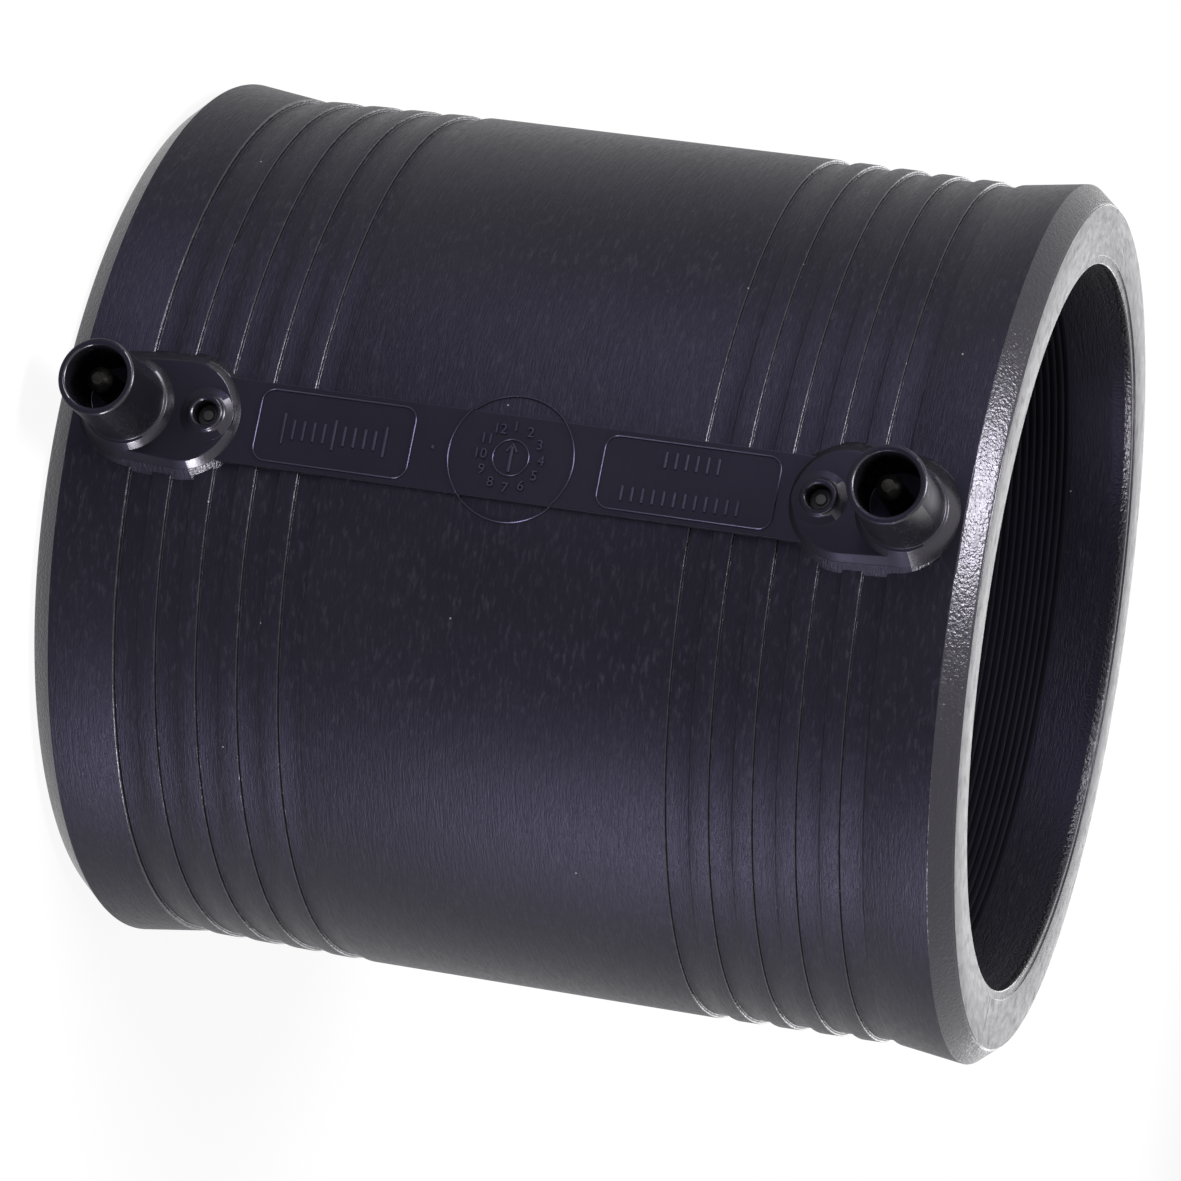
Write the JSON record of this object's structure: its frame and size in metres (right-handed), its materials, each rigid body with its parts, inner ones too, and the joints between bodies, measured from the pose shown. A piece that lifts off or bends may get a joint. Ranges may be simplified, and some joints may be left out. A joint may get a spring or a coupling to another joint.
{
  "type": "electrofusion coupler",
  "caption": "Black plastic electrofusion coupler for 110 mm pipe, with grooved grip zones, flared ends, a label pad, terminal shrouds and fusion indicators.",
  "frame": {"origin": "middle of the pipe bore, on its axis", "axes": "+Z along the pipe axis towards the top end; -Y out towards both terminals; +X across the label pad"},
  "size_m": [0.1384, 0.1546, 0.144],
  "materials": {
    "black_plastic": "matte moulded polyethylene",
    "coated_wire": "wire coated in black polyethylene",
    "indicator_plastic": "matte",
    "contact_metal": "satin",
    "wire_metal": "satin"
  },
  "bodies": {
    "root": {"body": "black_plastic", "link_wire": "wire_metal", "heating_winding_top": "coated_wire", "terminal_pin_top": "contact_metal", "fusion_indicator_top": "indicator_plastic", "heating_winding_bottom": "coated_wire", "terminal_pin_bottom": "contact_metal", "fusion_indicator_bottom": "indicator_plastic"}
  },
  "joints": []
}
